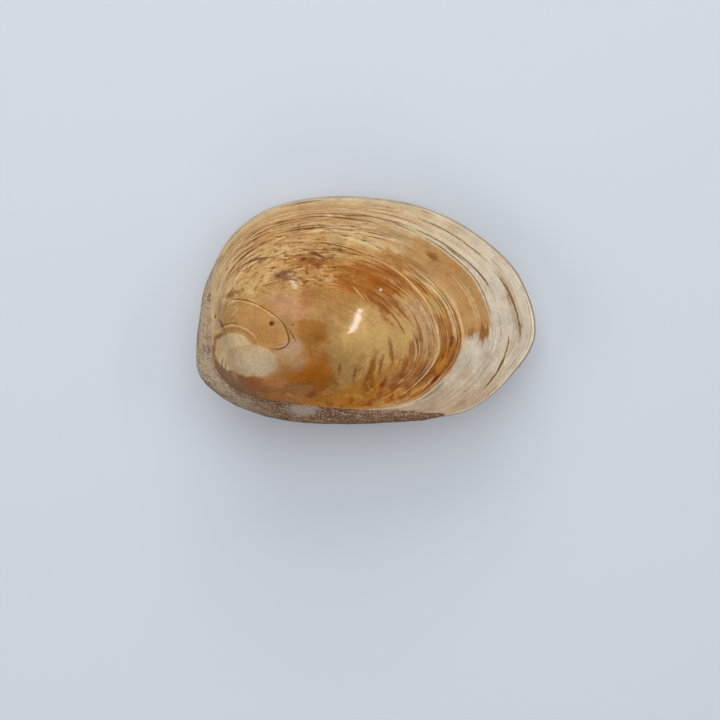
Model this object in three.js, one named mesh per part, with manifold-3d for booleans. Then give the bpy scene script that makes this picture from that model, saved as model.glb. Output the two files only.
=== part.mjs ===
// Fossil bivalve, closed and polished all over, with a pad of its sediment left round the beaks.
// Three pieces: the right valve on top, the left valve under it, and the sediment between the beaks.
// It lies on a small ground flat under the left valve. Units are millimetres, +Z is up,
// +X is the shell's rear end (posterior) and +Y its free edge (ventral).
//
// Each valve follows the growth of a real one. Every growth line is the margin made smaller about
// the foot of the beak and swung up about the hinge line, so one formula gives the whole surface.

import * as THREE from 'three'
import { mergeVertices } from 'three/addons/utils/BufferGeometryUtils.js'
import Module from 'manifold-3d'

// ---- driving dimensions -------------------------------------------------------------------------

// The margin, as [along the hinge line towards the rear, out from it towards the free edge],
// from the foot of the beak.
const MARGIN = [
  [67, 23], [62, 37.5], [50.5, 47], [37.5, 52], [24.5, 53], [11, 51.5], [-0.5, 47], [-8, 39.5],
  [-11.5, 29.5], [-11, 19], [-10.2, 9.5], [-8, 4.4], [-2.5, 1.1], [6, -0.5], [15.5, -1],
  [24.5, -1], [33, -0.6], [42.5, 0.5], [52.5, 3.5], [61, 11.5],
]
const GROWTH_RATE = 1.15      // a growth line shrinks by exp(-GROWTH_RATE) for each radian of swing
const COIL = 2.8              // swing of the smallest growth line, at the beak, in radians
const BEAK_INSET = 3.3        // beak's distance from the hinge line, towards the free edge
const BEAK_LIFT = 8           // beak's height above the plane where the valves meet
const JOINT_GAP = 0.3         // parting left between neighbouring solids
const SLIVER = 0.04           // detail smaller than this is dropped from the cut pad
const WELD = 0.001            // corners closer than this are one corner

// How the shell lies, in degrees.
const HINGE_SLOPE = 5.6       // hinge line turned in plan, its rear end towards -Y
const FREE_EDGE_DOWN = 11
const REAR_END_DOWN = 4
const FLAT_DEPTH = 1          // ground off the lowest point of the left valve to rest on

// The sediment pad's outer edge, as [along the hinge line, out from it, half thickness there].
const PAD_EDGE = [
  [-10.6, 34, 1], [-12.7, 27, 1.5], [-13.2, 20, 1.8], [-13.1, 12, 2.2], [-11.7, 5.6, 2.8], [-6.3, 1, 3],
  [2.3, -2.2, 2.8], [11, -3.3, 2.5], [22, -2.9, 2.2], [34, -1.4, 1.9], [45, 0.8, 1.4], [54, 5.2, 0.9],
]
const PAD_WIDTH = 6           // from its outer edge to the side buried between the valves

const AROUND = 60             // points round a growth line
const GROWTH_LINES = 28       // growth lines from the margin to the beak
const PAD_STATIONS = 48
const PAD_SIDES = 16

// ---- pose ---------------------------------------------------------------------------------------

const degrees = THREE.MathUtils.degToRad

// Turns a point given in the hinge's own axes into the way the shell lies.
const lying = new THREE.Matrix4()
  .makeRotationY(degrees(REAR_END_DOWN))
  .multiply(new THREE.Matrix4().makeRotationX(degrees(-FREE_EDGE_DOWN)))
  .multiply(new THREE.Matrix4().makeRotationZ(degrees(-HINGE_SLOPE)))

// ---- shapes -------------------------------------------------------------------------------------

// A closed solid from rings of points that run counterclockwise about the way the rings advance,
// each end closed by a fan.
function solidFromRings(rings) {
  const sides = rings[0].length
  const positions = []
  const faces = []
  for (const ring of rings) for (const point of ring) positions.push(point.x, point.y, point.z)

  for (let i = 0; i + 1 < rings.length; i++) {
    for (let j = 0; j < sides; j++) {
      const next = (j + 1) % sides
      const a = i * sides + j
      const b = i * sides + next
      const c = a + sides
      const d = b + sides
      faces.push(a, b, d, a, d, c)
    }
  }

  for (const end of [0, rings.length - 1]) {
    const middle = rings[end].reduce((sum, p) => sum.add(p), new THREE.Vector3()).divideScalar(sides)
    const centre = positions.length / 3
    positions.push(middle.x, middle.y, middle.z)
    for (let j = 0; j < sides; j++) {
      const first = end * sides + j
      const second = end * sides + (j + 1) % sides
      if (end === 0) faces.push(centre, second, first)
      else faces.push(centre, first, second)
    }
  }

  const geometry = new THREE.BufferGeometry()
  geometry.setAttribute('position', new THREE.Float32BufferAttribute(positions, 3))
  geometry.setIndex(faces)
  return geometry
}

// The growth lines of one valve, from its margin to its beak, in the hinge's axes. The side is 1
// for the valve above the plane where the two meet and -1 for its mirror image below.
function growthLines(side) {
  const outline = new THREE.CatmullRomCurve3(
    MARGIN.map(([along, out]) => new THREE.Vector3(along, out, 0)), true, 'centripetal')
  const margin = outline.getSpacedPoints(AROUND).slice(0, AROUND)

  const rings = []
  for (let i = 0; i < GROWTH_LINES; i++) {
    const swing = COIL * i / (GROWTH_LINES - 1)
    const size = Math.exp(-GROWTH_RATE * swing)
    const grown = 1 - size
    const ring = margin.map(({ x, y }) => new THREE.Vector3(
      x * size,
      y * size * Math.cos(swing) + BEAK_INSET * grown,
      side * (y * size * Math.sin(swing) + BEAK_LIFT * grown + JOINT_GAP / 2)))
    rings.push(side > 0 ? ring : ring.reverse())
  }
  return rings
}

// The same growth lines moved out from the valve by the parting, with one more below its margin
// that reaches into the other valve, so that nothing is left in the parting between the two.
function partedLines(rings, side) {
  const valve = solidFromRings(rings)
  const wall = valve.index.array.slice(0, 6 * AROUND * (rings.length - 1))
  valve.setIndex(Array.from(wall))
  valve.computeVertexNormals()
  const moved = rings.map((ring, i) => ring.map((point, j) => point.clone().addScaledVector(
    new THREE.Vector3().fromBufferAttribute(valve.attributes.normal, i * AROUND + j), JOINT_GAP)))
  return [moved[0].map((point) => point.clone().setZ(-side * JOINT_GAP)), ...moved]
}

// The sediment pad before the valves are cut from it: an oval bead along its outer edge.
function padGeometry() {
  const edge = new THREE.CatmullRomCurve3(
    PAD_EDGE.map(([along, out, half]) => new THREE.Vector3(along, out, half)), false, 'centripetal')
  const rings = edge.getSpacedPoints(PAD_STATIONS - 1).map((point, i) => {
    const heading = edge.getTangentAt(i / (PAD_STATIONS - 1))
    const inward = new THREE.Vector3(-heading.y, heading.x, 0).normalize()
    const middle = new THREE.Vector3(point.x, point.y, 0).addScaledVector(inward, PAD_WIDTH / 2)
    return Array.from({ length: PAD_SIDES }, (_, j) => {
      const turn = 2 * Math.PI * j / PAD_SIDES
      return middle.clone()
        .addScaledVector(inward, PAD_WIDTH / 2 * Math.cos(turn))
        .setZ(point.z * Math.sin(turn))
    })
  })
  return solidFromRings(rings)
}

// ---- cutting ------------------------------------------------------------------------------------

const wasm = await Module()
wasm.setup()

function toManifold(geometry) {
  const bare = geometry.clone()
  bare.deleteAttribute('normal')
  bare.deleteAttribute('uv')
  const merged = mergeVertices(bare, WELD)
  return new wasm.Manifold(new wasm.Mesh({
    numProp: 3,
    vertProperties: new Float32Array(merged.attributes.position.array),
    triVerts: new Uint32Array(merged.index.array),
  }))
}

function toGeometry(manifold) {
  const { vertProperties, triVerts } = manifold.getMesh()
  const geometry = new THREE.BufferGeometry()
  geometry.setAttribute('position', new THREE.Float32BufferAttribute(vertProperties, 3))
  geometry.setIndex(Array.from(triVerts))
  return geometry
}

// ---- the fossil ---------------------------------------------------------------------------------

const upperLines = growthLines(1)
const lowerLines = growthLines(-1)
const upper = solidFromRings(upperLines)
const lower = solidFromRings(lowerLines)

// The pad is the one large body that is left when both valves are cut from its bead.
const cut = toManifold(padGeometry())
  .subtract(toManifold(solidFromRings(partedLines(upperLines, 1))))
  .subtract(toManifold(solidFromRings(partedLines(lowerLines, -1))))
  .simplify(SLIVER)
const pad = toGeometry(cut.decompose().reduce((a, b) => (b.volume() > a.volume() ? b : a)))

for (const geometry of [upper, lower, pad]) geometry.applyMatrix4(lying)

// The flat that the shell rests on, ground level with the table.
lower.computeBoundingBox()
const table = lower.boundingBox.min.z + FLAT_DEPTH
const ground = new THREE.BoxGeometry(200, 200, 20).translate(0, 0, table - 10)
const rested = toGeometry(toManifold(lower).subtract(toManifold(ground)))

function stone(color, roughness) {
  return new THREE.MeshStandardMaterial({ color, roughness, metalness: 0 })
}

function piece(name, geometry, material) {
  geometry.computeVertexNormals()
  const mesh = new THREE.Mesh(geometry, material)
  mesh.name = name
  return mesh
}

const group = new THREE.Group()
group.add(
  piece('right_valve', upper, stone('#b68c5c', 0.3)),
  piece('left_valve', rested, stone('#b08a60', 0.3)),
  piece('sediment_matrix', pad, stone('#8c7862', 0.7)),
)

// The origin is under the middle of the shell, on the table.
const box = new THREE.Box3().setFromObject(group)
const middle = box.getCenter(new THREE.Vector3())
group.position.set(-middle.x, -middle.y, -box.min.z)

export default group
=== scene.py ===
"""Polished fossil bivalve, closed, with a pad of its sediment left round the beaks.

The right valve lies on top and the left valve under it, as mirror images. Each valve is grown by
Geometry Nodes from its margin: every growth line is the margin made smaller about the foot of the
beak and swung up about the hinge line. Lengths are millimetres until MM turns them into metres.
+X is the rear end, +Y the free edge, and the hinge runs along the -Y side.
"""

import math

import bmesh
import bpy
from mathutils import Matrix, Quaternion, Vector


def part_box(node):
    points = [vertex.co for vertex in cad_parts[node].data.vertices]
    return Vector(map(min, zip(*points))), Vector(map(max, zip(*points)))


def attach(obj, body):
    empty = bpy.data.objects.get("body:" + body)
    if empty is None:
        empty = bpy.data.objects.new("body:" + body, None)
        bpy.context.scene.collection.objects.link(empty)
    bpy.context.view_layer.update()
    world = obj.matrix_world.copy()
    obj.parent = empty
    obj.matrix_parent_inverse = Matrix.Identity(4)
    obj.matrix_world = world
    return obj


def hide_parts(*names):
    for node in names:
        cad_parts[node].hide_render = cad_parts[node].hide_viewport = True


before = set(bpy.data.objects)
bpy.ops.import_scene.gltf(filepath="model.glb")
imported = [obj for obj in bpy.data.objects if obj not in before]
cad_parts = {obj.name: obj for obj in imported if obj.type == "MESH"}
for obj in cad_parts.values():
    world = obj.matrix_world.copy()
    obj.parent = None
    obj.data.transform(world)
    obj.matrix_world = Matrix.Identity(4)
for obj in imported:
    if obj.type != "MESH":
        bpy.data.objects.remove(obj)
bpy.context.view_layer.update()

MM = 0.001

# ---- the shell's shape, as the solid model has it -------------------------------------------------

# Margin, as (along the hinge line towards the rear, out from it towards the free edge), from the
# foot of the beak. It starts at the hinge's middle and runs round the rear end first.
MARGIN = [
    (24.5, -1), (33, -0.6), (42.5, 0.5), (52.5, 3.5), (61, 11.5), (67, 23), (62, 37.5), (50.5, 47),
    (37.5, 52), (24.5, 53), (11, 51.5), (-0.5, 47), (-8, 39.5), (-11.5, 29.5), (-11, 19), (-10.2, 9.5),
    (-8, 4.4), (-2.5, 1.1), (6, -0.5), (15.5, -1),
]
GROWTH_RATE = 1.15      # a growth line shrinks by exp(-GROWTH_RATE) for each radian of swing
SMALLEST = 0.04         # size of the last growth line, at the beak, beside the margin
BEAK_INSET = 3.3        # beak's distance from the hinge line, towards the free edge
BEAK_LIFT = 8           # beak's height above the plane where the valves meet

HINGE_SLOPE = 5.6       # degrees: how the shell lies
FREE_EDGE_DOWN = 11
REAR_END_DOWN = 4

# The sediment pad's outer edge, as (along the hinge line, out from it, half thickness there).
PAD_EDGE = [
    (-10.6, 34, 1), (-12.7, 27, 1.5), (-13.2, 20, 1.8), (-13.1, 12, 2.2), (-11.7, 5.6, 2.8),
    (-6.3, 1, 3), (2.3, -2.2, 2.8), (11, -3.3, 2.5), (22, -2.9, 2.2), (34, -1.4, 1.9),
    (45, 0.8, 1.4), (54, 5.2, 0.9),
]
PAD_WIDTH = 6           # from its outer edge to the side buried between the valves
PAD_LENGTH = 105        # along its outer edge
PAD_GIRTH = 14          # round it

lying = (Matrix.Rotation(math.radians(REAR_END_DOWN), 4, "Y")
         @ Matrix.Rotation(math.radians(-FREE_EDGE_DOWN), 4, "X")
         @ Matrix.Rotation(math.radians(-HINGE_SLOPE), 4, "Z"))


# ---- small tools ----------------------------------------------------------------------------------

def add(tree, kind, *feeds, **settings):
    """Adds a node with its settings, and feeds its inputs from sockets or with values: in order, or
    by name from a dictionary. Gives back its output, whose node has the other outputs."""
    made = tree.nodes.new(kind)
    for name, value in settings.items():
        setattr(made, name, value)
    shown = [socket for socket in made.inputs if socket.enabled]
    pairs = zip(shown, feeds)
    if feeds and isinstance(feeds[0], dict):
        pairs = [(made.inputs[name], value) for name, value in feeds[0].items()]
    for socket, value in pairs:
        if isinstance(value, bpy.types.NodeSocket):
            tree.links.new(value, socket)
        else:
            socket.default_value = value
    return next((socket for socket in made.outputs if socket.enabled), None)


def linear(code):
    """An sRGB colour such as #c9a26b as linear red, green, blue and alpha."""
    parts = [int(code[i:i + 2], 16) / 255 for i in (1, 3, 5)]
    return [c / 12.92 if c <= 0.04045 else ((c + 0.055) / 1.055) ** 2.4 for c in parts] + [1.0]


def open_group(name, kind, inputs, outputs):
    """A new node group with its inputs, as (name, socket type, default), and its outputs."""
    group = bpy.data.node_groups.new(name, kind)
    for label, socket, default in inputs:
        made = group.interface.new_socket(label, in_out="INPUT", socket_type="NodeSocket" + socket)
        if default is not None:
            made.default_value = default
    for label, socket in outputs:
        group.interface.new_socket(label, in_out="OUTPUT", socket_type="NodeSocket" + socket)
    start = group.nodes.new("NodeGroupInput")
    end = group.nodes.new("NodeGroupOutput")
    return group, start.outputs, end.inputs


def smooth_line(points, closed, each=40):
    """A centripetal Catmull-Rom line through the points, as a list of vectors."""
    knots = [Vector(p).to_3d() for p in points]
    count = len(knots)
    line = []
    for i in range(count if closed else count - 1):
        if closed:
            p0, p1, p2, p3 = (knots[(i + j) % count] for j in (-1, 0, 1, 2))
        else:
            p1, p2 = knots[i], knots[i + 1]
            p0 = knots[i - 1] if i else 2 * p1 - p2
            p3 = knots[i + 2] if i + 2 < count else 2 * p2 - p1
        d01, d12, d23 = ((b - a).length ** 0.5 for a, b in ((p0, p1), (p1, p2), (p2, p3)))
        leave = d12 * ((p1 - p0) / d01 - (p2 - p0) / (d01 + d12) + (p2 - p1) / d12)
        arrive = d12 * ((p2 - p1) / d12 - (p3 - p1) / (d12 + d23) + (p3 - p2) / d23)
        for j in range(each):
            t = j / each
            line.append(p1 + t * (leave + t * (3 * (p2 - p1) - 2 * leave - arrive
                                               + t * (leave + arrive - 2 * (p2 - p1)))))
    if not closed:
        line.append(knots[-1])
    return line


def line_mesh(name, line, closed):
    """The line as a mesh of edges, for a tree to grow a piece from."""
    mesh = bpy.data.meshes.new(name)
    ends = [(i, (i + 1) % len(line)) for i in range(len(line) if closed else len(line) - 1)]
    mesh.from_pydata(line, ends, [])
    return mesh


def grow(name, base, tree, sizes):
    """Grows a piece from its base line with a tree, and leaves it a plain mesh."""
    piece = bpy.data.objects.new(name, base)
    bpy.context.scene.collection.objects.link(piece)
    modifier = piece.modifiers.new("grow", "NODES")
    modifier.node_group = tree
    for socket in tree.interface.items_tree:
        if socket.in_out == "INPUT" and socket.name in sizes:
            modifier[socket.identifier] = sizes[socket.name]
    bpy.context.view_layer.update()
    scene_now = bpy.context.evaluated_depsgraph_get()
    grown = bpy.data.meshes.new_from_object(
        piece.evaluated_get(scene_now), preserve_all_data_layers=True, depsgraph=scene_now)
    piece.modifiers.clear()
    piece.data = grown
    grown.name = name
    grown.materials.clear()
    grown.materials.append(sizes["Finish"])
    grown.polygons.foreach_set("use_smooth", [True] * len(grown.polygons))
    return piece


# ---- trees ----------------------------------------------------------------------------------------

def ring_noise_group(kind):
    """Noise in the shell's own coordinates. It is drawn on a cylinder, so it has no seam."""
    group, given, result = open_group(
        "growth noise, " + kind, kind,
        [("Around", "Float", 0), ("Grown", "Float", 0), ("Length", "Float", 1), ("Fineness", "Float", 1),
         ("Detail", "Float", 2), ("Seed", "Float", 0)],
        [("Noise", "Float")])
    turn = add(group, "ShaderNodeMath", given["Around"], 2 * math.pi, operation="MULTIPLY")
    east = add(group, "ShaderNodeMath", turn, operation="COSINE")
    north = add(group, "ShaderNodeMath", turn, operation="SINE")
    x = add(group, "ShaderNodeMath", east, given["Length"], given["Seed"], operation="MULTIPLY_ADD")
    y = add(group, "ShaderNodeMath", north, given["Length"], operation="MULTIPLY")
    z = add(group, "ShaderNodeMath", given["Grown"], given["Fineness"], operation="MULTIPLY")
    place = add(group, "ShaderNodeCombineXYZ", x, y, z)
    noise = add(group, "ShaderNodeTexNoise",
                {"Vector": place, "Scale": 1.0, "Detail": given["Detail"], "Roughness": 0.55})
    group.links.new(noise, result[0])
    return group


# The trees work in millimetres. A share of growth is 1 at the margin and 0 at the foot of the beak.
MOUTH = (26, 25)        # where the face that meets the other valve is drawn together
CLOSING = 0.0001        # share of a piece's length that tells its closing rows from its own
VALVE_WELD = 0.0008     # corners nearer than this are one corner
PAD_WELD = 0.001

# Halts in growth, as (share of growth, depth of its groove in mm on the widest part).
HALTS = [(0.972, 0.05), (0.93, 0.06), (0.885, 0.05), (0.848, 0.10), (0.795, 0.05), (0.735, 0.12),
         (0.648, 0.10), (0.57, 0.05), (0.49, 0.04), (0.40, 0.05), (0.31, 0.03)]
HALT_HALF_WIDTH = 0.007  # share of growth
HALT_WOBBLE = 0.012     # share of growth that a halt strays from its line
WIDEST_RUN = 66         # mm of valve that a whole unit of growth covers on its widest part
RIM = 0.02              # share of growth over which the edge is rounded


def valve_tree():
    """Grows a closed valve from its margin."""
    tree, given, result = open_group(
        "valve", "GeometryNodeTree",
        [("Geometry", "Geometry", None), ("Growth lines", "Int", 520), ("Points around", "Int", 180),
         ("Growth rate", "Float", GROWTH_RATE), ("Smallest", "Float", SMALLEST),
         ("Beak inset", "Float", BEAK_INSET), ("Beak lift", "Float", BEAK_LIFT),
         ("Seam gap", "Float", 0.02), ("Side", "Float", 1), ("Band height", "Float", 0.12),
         ("Ridge height", "Float", 0.035), ("Wave height", "Float", 0.04), ("Halt depth", "Float", 0.6),
         ("Edge rounding", "Float", 0.25), ("Beak polishing", "Int", 40), ("Seed", "Float", 1),
         ("Finish", "Material", None)],
        [("Geometry", "Geometry")])

    margin = add(tree, "GeometryNodeMeshToCurve", {"Mesh": given["Geometry"]})
    columns = add(tree, "ShaderNodeMath", given["Points around"], 1, operation="ADD")
    rows = add(tree, "ShaderNodeMath", given["Growth lines"], 2, operation="ADD")
    grid = add(tree, "GeometryNodeMeshGrid",
               {"Size X": 1.0, "Size Y": 1.0, "Vertices X": columns, "Vertices Y": rows})

    # Where a point is: round the margin from 0 to 1, and its growth line's size from 1 to Smallest.
    # The first and the last row are drawn together, and close the valve.
    place = add(tree, "ShaderNodeSeparateXYZ", add(tree, "GeometryNodeInputPosition"))
    around = add(tree, "ShaderNodeMath", place, 0.5, operation="ADD")
    row = add(tree, "ShaderNodeMath",
              add(tree, "ShaderNodeMath", place.node.outputs[1], 0.5, operation="ADD"),
              add(tree, "ShaderNodeMath", given["Growth lines"], 1, operation="ADD"),
              operation="MULTIPLY")
    last = add(tree, "ShaderNodeMath", given["Growth lines"], 1, operation="SUBTRACT")
    grown_share = add(tree, "ShaderNodeMath", add(tree, "ShaderNodeMath", row, 1, operation="SUBTRACT"),
                      last, operation="DIVIDE")
    share = add(tree, "ShaderNodeClamp", grown_share)
    size = add(tree, "ShaderNodeMath", 1,
               add(tree, "ShaderNodeMath", share,
                   add(tree, "ShaderNodeMath", 1, given["Smallest"], operation="SUBTRACT"),
                   operation="MULTIPLY"), operation="SUBTRACT")
    swing = add(tree, "ShaderNodeMath",
                add(tree, "ShaderNodeMath", size, math.e, operation="LOGARITHM"),
                add(tree, "ShaderNodeMath", given["Growth rate"], -1, operation="MULTIPLY"),
                operation="DIVIDE")
    cosine = add(tree, "ShaderNodeMath", swing, operation="COSINE")
    sine = add(tree, "ShaderNodeMath", swing, operation="SINE")

    sample = add(tree, "GeometryNodeSampleCurve", {"Curves": margin, "Factor": around}, mode="FACTOR",
                 use_all_curves=True)
    along = add(tree, "ShaderNodeSeparateXYZ", sample.node.outputs["Position"])
    out = along.node.outputs[1]
    heading = add(tree, "ShaderNodeSeparateXYZ", sample.node.outputs["Tangent"])

    def on_valve(flat_along, flat_out, inset, lift):
        """A point or direction that lies in the margin's plane, moved to this growth line."""
        y = add(tree, "ShaderNodeMath",
                add(tree, "ShaderNodeMath", flat_out, size, operation="MULTIPLY"), cosine, inset,
                operation="MULTIPLY_ADD")
        z = add(tree, "ShaderNodeMath",
                add(tree, "ShaderNodeMath", flat_out, size, operation="MULTIPLY"), sine, lift,
                operation="MULTIPLY_ADD")
        return add(tree, "ShaderNodeCombineXYZ",
                   add(tree, "ShaderNodeMath", flat_along, size, operation="MULTIPLY"), y,
                   add(tree, "ShaderNodeMath", z, given["Side"], operation="MULTIPLY"))

    gone = add(tree, "ShaderNodeMath", 1, size, operation="SUBTRACT")
    lift = add(tree, "ShaderNodeMath", given["Beak lift"], gone, given["Seam gap"],
               operation="MULTIPLY_ADD")
    surface = on_valve(along, out,
                       add(tree, "ShaderNodeMath", given["Beak inset"], gone, operation="MULTIPLY"),
                       lift)
    tangent = on_valve(heading, heading.node.outputs[1], 0, 0)

    # How the surface runs towards the beak, for one unit of growth.
    turn_rate = add(tree, "ShaderNodeMath", 1, given["Growth rate"], operation="DIVIDE")
    run_y = add(tree, "ShaderNodeMath",
                add(tree, "ShaderNodeMath", out,
                    add(tree, "ShaderNodeMath", sine, turn_rate, cosine, operation="MULTIPLY_ADD"),
                    operation="MULTIPLY"), given["Beak inset"], operation="SUBTRACT")
    run_z = add(tree, "ShaderNodeMath",
                add(tree, "ShaderNodeMath", out,
                    add(tree, "ShaderNodeMath", sine,
                        add(tree, "ShaderNodeMath", cosine, turn_rate, operation="MULTIPLY"),
                        operation="SUBTRACT"), operation="MULTIPLY"), given["Beak lift"],
                operation="SUBTRACT")
    run = add(tree, "ShaderNodeCombineXYZ", along, run_y,
              add(tree, "ShaderNodeMath", run_z, given["Side"], operation="MULTIPLY"))
    run_length = add(tree, "ShaderNodeVectorMath", run, operation="LENGTH")
    across = add(tree, "ShaderNodeVectorMath", run, tangent, operation="CROSS_PRODUCT")
    outward = add(tree, "ShaderNodeVectorMath", across, operation="NORMALIZE")

    # Relief: waves, growth bands and fine ridges. They are lower where the growth lines crowd.
    noise = ring_noise_group("GeometryNodeTree")
    lowered = add(tree, "ShaderNodeMath", run_length, WIDEST_RUN, operation="DIVIDE")

    def relief(length, fineness, detail, seed):
        """Noise in the shell's own coordinates, about zero."""
        made = add(tree, "GeometryNodeGroup",
                   {"Around": around, "Grown": size, "Length": length, "Fineness": fineness,
                    "Detail": detail,
                    "Seed": add(tree, "ShaderNodeMath", given["Seed"], seed, operation="ADD")},
                   node_tree=noise)
        return add(tree, "ShaderNodeMath", made, 0.5, operation="SUBTRACT")

    waves = add(tree, "ShaderNodeMath", relief(0.9, 4, 1, 11), given["Wave height"],
                operation="MULTIPLY")
    bands = add(tree, "ShaderNodeMath", relief(0.7, 26, 2, 23), given["Band height"],
                operation="MULTIPLY")
    ridges = add(tree, "ShaderNodeMath", relief(1.6, 105, 1, 37), given["Ridge height"],
                 operation="MULTIPLY")
    height = add(tree, "ShaderNodeMath", bands, ridges, operation="ADD")

    wobbled = add(tree, "ShaderNodeMath", size,
                  add(tree, "ShaderNodeMath", relief(0.6, 9, 1, 51), HALT_WOBBLE, operation="MULTIPLY"),
                  operation="ADD")
    for halt, depth in HALTS:
        near = add(tree, "ShaderNodeMath", 1,
                   add(tree, "ShaderNodeMath",
                       add(tree, "ShaderNodeMath",
                           add(tree, "ShaderNodeMath", wobbled, halt, operation="SUBTRACT"),
                           operation="ABSOLUTE"), HALT_HALF_WIDTH, operation="DIVIDE"),
                   operation="SUBTRACT")
        near = add(tree, "ShaderNodeMath", near, 0, operation="MAXIMUM")
        groove = add(tree, "ShaderNodeMath",
                     add(tree, "ShaderNodeMath", near, near, operation="MULTIPLY"),
                     add(tree, "ShaderNodeMath", given["Halt depth"], depth, operation="MULTIPLY"),
                     operation="MULTIPLY")
        height = add(tree, "ShaderNodeMath", height, groove, operation="SUBTRACT")
    # The dome is polished smoother than the shell nearer its edge.
    kept_relief = add(tree, "ShaderNodeMapRange",
                      {"Value": size, "From Min": 0.48, "From Max": 0.72, "To Min": 0.06,
                       "To Max": 1.0})
    height = add(tree, "ShaderNodeMath", height,
                 add(tree, "ShaderNodeMath", lowered, kept_relief, operation="MULTIPLY"), waves,
                 operation="MULTIPLY_ADD")

    # Near the margin the relief fades, and the edge is drawn in to round it.
    rim = add(tree, "ShaderNodeMath",
              add(tree, "ShaderNodeMath",
                  add(tree, "ShaderNodeMath", size, 1 - RIM, operation="SUBTRACT"), RIM,
                  operation="DIVIDE"), 0, operation="MAXIMUM")
    height = add(tree, "ShaderNodeMath", height,
                 add(tree, "ShaderNodeMath", 1, rim, operation="SUBTRACT"), operation="MULTIPLY")
    raised = add(tree, "ShaderNodeVectorMath", {0: outward, "Scale": height}, operation="SCALE")
    raised = add(tree, "ShaderNodeVectorMath", raised, surface, operation="ADD")
    level = add(tree, "ShaderNodeVectorMath", outward, (1, 1, 0), operation="MULTIPLY")
    drawn = add(tree, "ShaderNodeMath",
                add(tree, "ShaderNodeMath", add(tree, "ShaderNodeMath", rim, rim, operation="MULTIPLY"),
                    lowered, operation="MULTIPLY"), given["Edge rounding"], operation="MULTIPLY")
    drawn = add(tree, "ShaderNodeVectorMath", {0: level, "Scale": drawn}, operation="SCALE")
    raised = add(tree, "ShaderNodeVectorMath", raised, drawn, operation="SUBTRACT")

    # The closing rows are drawn to one point each.
    tip_size = given["Smallest"]
    open_end = add(tree, "ShaderNodeMath", grown_share, -CLOSING, operation="LESS_THAN")
    beak_end = add(tree, "ShaderNodeMath", grown_share, 1 + CLOSING, operation="GREATER_THAN")
    mouth_point = add(tree, "ShaderNodeCombineXYZ", *MOUTH,
                      add(tree, "ShaderNodeMath", given["Seam gap"], given["Side"],
                          operation="MULTIPLY"))
    tip_y = add(tree, "ShaderNodeMath",
                add(tree, "ShaderNodeMath",
                    add(tree, "ShaderNodeMath", cosine, tip_size, operation="MULTIPLY"), MOUTH[1],
                    operation="MULTIPLY"),
                add(tree, "ShaderNodeMath", given["Beak inset"], gone, operation="MULTIPLY"),
                operation="ADD")
    tip_z = add(tree, "ShaderNodeMath",
                add(tree, "ShaderNodeMath",
                    add(tree, "ShaderNodeMath", sine, tip_size, operation="MULTIPLY"), MOUTH[1],
                    operation="MULTIPLY"),
                add(tree, "ShaderNodeMath", given["Beak lift"], gone, operation="MULTIPLY"),
                operation="ADD")
    tip_point = add(tree, "ShaderNodeCombineXYZ",
                    add(tree, "ShaderNodeMath", tip_size, MOUTH[0], operation="MULTIPLY"), tip_y,
                    add(tree, "ShaderNodeMath", tip_z, given["Side"], operation="MULTIPLY"))
    closed = add(tree, "GeometryNodeSwitch", {"Switch": open_end, "False": raised, "True": mouth_point},
                 input_type="VECTOR")
    closed = add(tree, "GeometryNodeSwitch", {"Switch": beak_end, "False": closed, "True": tip_point},
                 input_type="VECTOR")

    # The shell's own coordinates stay with the mesh, for its markings.
    coordinates = add(tree, "ShaderNodeCombineXYZ", around, size)
    kept = add(tree, "GeometryNodeStoreNamedAttribute",
               {"Geometry": grid, "Name": "shell", "Value": coordinates}, data_type="FLOAT2",
               domain="CORNER")
    placed = add(tree, "GeometryNodeSetPosition", {"Geometry": kept, "Position": closed})
    sewn = add(tree, "GeometryNodeMergeByDistance", {"Geometry": placed, "Distance": VALVE_WELD})

    # The polishing softened the crest in front of the beak.
    stored = add(tree, "GeometryNodeInputNamedAttribute", {"Name": "shell"}, data_type="FLOAT_VECTOR")
    stored = add(tree, "ShaderNodeSeparateXYZ", stored)
    by_beak = add(tree, "ShaderNodeMapRange",
                  {"Value": stored.node.outputs[1], "From Min": 0.85, "From Max": 0.15})
    soft = add(tree, "GeometryNodeBlurAttribute",
               {"Value": add(tree, "GeometryNodeInputPosition"), "Iterations": given["Beak polishing"],
                "Weight": by_beak}, data_type="FLOAT_VECTOR")
    polished = add(tree, "GeometryNodeSetPosition", {"Geometry": sewn, "Position": soft})
    # A mirrored valve would be inside out.
    mirrored = add(tree, "ShaderNodeMath", given["Side"], 0, operation="LESS_THAN")
    outside = add(tree, "GeometryNodeFlipFaces", {"Mesh": polished, "Selection": mirrored})
    real = add(tree, "GeometryNodeRealizeInstances", {"Geometry": outside})
    done = add(tree, "GeometryNodeSetMaterial", {"Geometry": real, "Material": given["Finish"]})
    tree.links.new(done, result[0])
    return tree


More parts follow.
